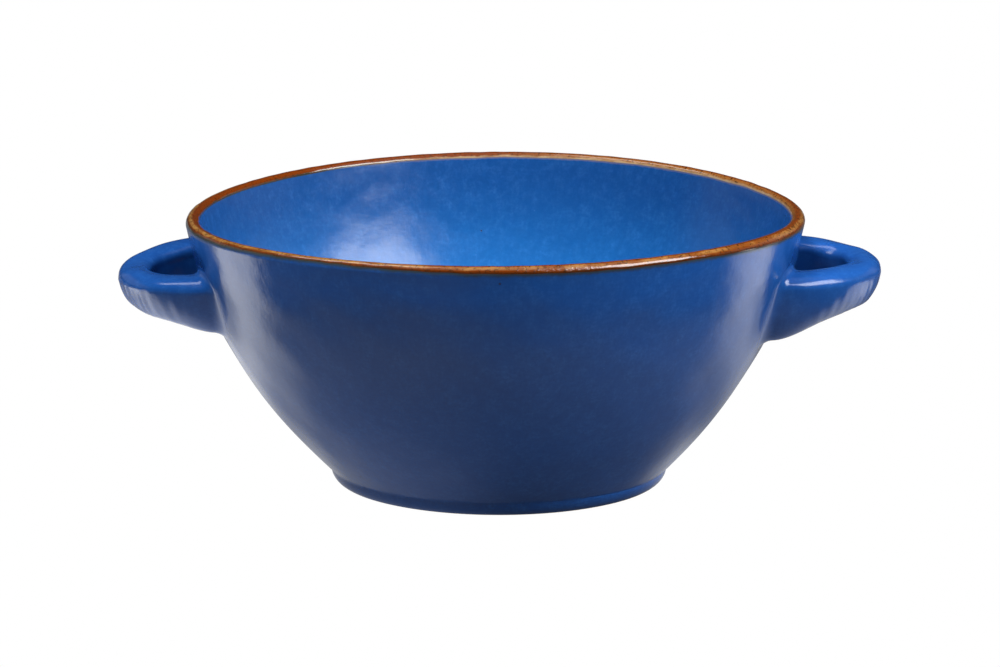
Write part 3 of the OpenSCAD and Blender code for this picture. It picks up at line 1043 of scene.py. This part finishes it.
def floor_finish(stage):
    """A pale table: white to the camera, while the glaze mirrors a soft ring of light round
    the bowl, a smaller one at the foot, a haze at the left and the table's bright ends."""
    tree, _, spot = new_finish("Pale table")
    x, y, _ = axes(spot)
    from_axis = Mark(node(tree, "ShaderNodeVectorMath", {0: spot}, operation="LENGTH")["Value"])

    def bell(middle, wide):
        """A bell curve of the distance from the axis."""
        off = (from_axis - middle) / wide
        return calc(tree, "POWER", math.e, off * off * -1)

    foot = span(calc(tree, "ABSOLUTE", x), *FOOT_ASIDE) * span(y, *FOOT_BACK)
    foot = foot * span(x, *FOOT_RIGHT, 1, 1.8)
    foot = calc(tree, "MAXIMUM", foot, span(x, *FOOT_LEFT, 0, 0.55))
    glow = bell(*FRONT_RING) * stage.front_glow + stage.table_dim
    glow = glow + bell(*FOOT_RING) * foot * stage.foot_glow
    glow = glow + span(x, *HAZE) * stage.left_haze
    for hand, strength, first, last, end in (
        (-1, stage.left_glow, 48, 170, 70), (1, stage.right_glow, 57, 192, 50),
    ):
        out = x * hand
        side = span(out, *mm(first, last)) * span(out * -0.15 + y, *FRONT_EDGE)
        side = side * span(y, *mm(end, 2 * end), 1, 0.2)
        edge = calc(tree, "MAXIMUM", out, CORNER_TURN) * -0.9 + y
        shade = span(edge, *CORNER_EDGE) * span(out, *CORNER_SIDE)
        side = side * (shade * -0.8 + 1) * span(out, *FAR_SIDE, 1, 0.45)
        glow = glow + side * strength
    inputs = {"Color": WHITE, "Strength": white_to_camera(tree, glow)}
    glowing = Mark(node(tree, "ShaderNodeEmission", inputs)[0])
    tree.nodes.remove(tree.nodes["Principled BSDF"])
    join(glowing, tree.nodes["Material Output"].inputs["Surface"])
    return bpy.data.materials["Pale table"]


# The soft boxes: distance, share of a side over which they fade out, and for each its turn
# and height in degrees, its width and height as seen from the bowl, the stage's number for its
# radiance, and whether it lights the bowl and glints on it
BOX_DISTANCE, BOX_FADE = 1.2, 0.2
SOFT_BOXES = (
    ("top_box", 0, 62, 50, 14, "top_light", True, False),
    ("lip_box", -127, 63, 18, 34, "lip_light", False, True),
    ("key_box", 64.5, 42.5, 44, 33, "key_light", True, True),
    ("left_box", -62, 67, 28, 20, "left_light", True, False),
    ("ceiling_box", 0, 88, 70, 70, "ceiling", True, True),
    ("left_low_box", -118, 18, 60, 24, "side_light", True, True),
    ("right_low_box", 118, 18, 60, 24, "side_light", True, True),
)


def soft_box(scene, name, sight, radiance):
    """An area light that faces the bowl, with a radiance that fades out to its edges. Sight
    is its turn and height, and how wide and tall it looks from the bowl, in degrees."""
    turn, height, wide, tall = (math.radians(degrees) for degrees in sight)
    light = bpy.data.lights.new(name, "AREA")
    light.shape = "RECTANGLE"
    light.size = 2 * BOX_DISTANCE * math.tan(wide / 2)
    light.size_y = 2 * BOX_DISTANCE * math.tan(tall / 2)
    light.energy = radiance * math.pi * light.size * light.size_y
    light.use_nodes = True
    tree = light.node_tree
    across, up, _ = axes(Mark(node(tree, "ShaderNodeNewGeometry")["Parametric"]))
    fade, fade_up = (span(calc(tree, "PINGPONG", part, 0.5), 0, BOX_FADE) for part in (across, up))
    join(fade * fade_up, tree.nodes["Emission"].inputs["Strength"])
    lamp = bpy.data.objects.new(name, light)
    away = heading(turn, height)
    facing = away.to_track_quat("Z", "Y").to_matrix().to_4x4()
    lamp.matrix_world = Matrix.Translation(away * BOX_DISTANCE) @ facing
    lamp.visible_camera = False
    scene.collection.objects.link(lamp)
    return lamp


# Half of the table's side and its depth under the foot, in metres, so that the two don't meet
TABLE_HALF, TABLE_UNDER = 4.0, 0.05 * MM
# The camera's sensor in millimetres, its shift and the range that it sees, in metres
SENSOR = 36
SHIFT = (0.001, 0.0122)
SEES = (0.05, 20)


def lay_table(scene):
    """A flat square under the bowl."""
    sides = ((-1, -1), (1, -1), (1, 1), (-1, 1))
    corners = [(TABLE_HALF * i, TABLE_HALF * j, -TABLE_UNDER) for i, j in sides]
    mesh = bpy.data.meshes.new("pale_table")
    mesh.from_pydata(corners, [], [(0, 1, 2, 3)])
    mesh.materials.append(floor_finish(scene.bowl_stage))
    table = bpy.data.objects.new("pale_table", mesh)
    scene.collection.objects.link(table)


def set_room(scene):
    """A dark room that the camera sees as white, with plain tones."""
    world = bpy.data.worlds.new("Studio")
    scene.world = world
    world.use_nodes = True
    tree = world.node_tree
    room = tree.nodes["Background"].inputs
    join(white_to_camera(tree, scene.bowl_stage.room), room["Strength"])
    room["Color"].default_value = WHITE
    scene.view_settings.view_transform = "Standard"
    scene.view_settings.look = "None"


def set_camera(scene):
    """A camera with a long lens, that looks at the bowl's axis from the front."""
    stage = scene.bowl_stage
    camera = bpy.data.cameras.new("eye")
    camera.lens = stage.lens
    camera.sensor_width = SENSOR
    camera.shift_x, camera.shift_y = SHIFT
    camera.clip_start, camera.clip_end = SEES
    eye = bpy.data.objects.new("eye", camera)
    back = heading(0, stage.eye_height)
    right = Vector((1, 0, 0))
    facing = Matrix((right, back.cross(right), back)).transposed().to_4x4()
    aim = Vector((0, 0, stage.aim_h))
    eye.matrix_world = Matrix.Translation(aim + stage.eye_distance * back) @ facing
    scene.collection.objects.link(eye)
    scene.camera = eye


class LUGBOWL_OT_stage(bpy.types.Operator):
    """Set the table, the studio lights and the camera"""

    bl_idname = "lugbowl.stage"
    bl_label = "Table, lights and camera"

    def execute(self, context):
        """The table, the soft boxes, the room and the camera, in that order."""
        scene = context.scene
        lay_table(scene)
        for name, *sight, key, lights, glints in SOFT_BOXES:
            lamp = soft_box(scene, name, sight, getattr(scene.bowl_stage, key))
            lamp.visible_diffuse, lamp.visible_glossy = lights, glints
        set_room(scene)
        set_camera(scene)
        return {"FINISHED"}


class LUGBOWL_PT_sidebar(bpy.types.Panel):
    """Lists the pieces and their sizes"""

    bl_label = "Lug Soup Bowl"
    bl_idname = "LUGBOWL_PT_sidebar"
    bl_space_type = "VIEW_3D"
    bl_region_type = "UI"
    bl_category = "Lug Bowl"

    def draw(self, context):
        """Draws a button for each operator and a field for each size and colour."""
        for maker in MAKERS:
            self.layout.operator(maker.bl_idname)
        for group in GROUPS:
            box = self.layout.box()
            box.label(text=group.__doc__)
            for key in group.__annotations__:
                box.prop(getattr(context.scene, GROUPS[group]), key)


GROUPS = {
    LugBowlSizes: "bowl_sizes", LugSizes: "lug_sizes", GlazeColours: "glaze_colours",
    BowlStage: "bowl_stage",
}
MAKERS = (
    LUGBOWL_OT_stage, LUGBOWL_OT_clay, LUGBOWL_OT_outer_glaze, LUGBOWL_OT_inner_glaze,
    LUGBOWL_OT_rim_band, LUGBOWL_OT_lugs, LUGBOWL_OT_base_glaze,
)


def register():
    """Registers the classes and hangs the property groups on the scene."""
    for group, name in GROUPS.items():
        bpy.utils.register_class(group)
        setattr(bpy.types.Scene, name, PointerProperty(type=group))
    for cls in (*MAKERS, LUGBOWL_PT_sidebar):
        bpy.utils.register_class(cls)


def unregister():
    """Takes them off again."""
    for cls in (LUGBOWL_PT_sidebar, *reversed(MAKERS)):
        bpy.utils.unregister_class(cls)
    for group, name in reversed(GROUPS.items()):
        delattr(bpy.types.Scene, name)
        bpy.utils.unregister_class(group)


def main():
    """Builds every piece and the stage."""
    register()
    for maker in MAKERS:
        area, name = maker.bl_idname.split(".")
        getattr(getattr(bpy.ops, area), name)()
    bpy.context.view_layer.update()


if __name__ == "__main__":
    main()
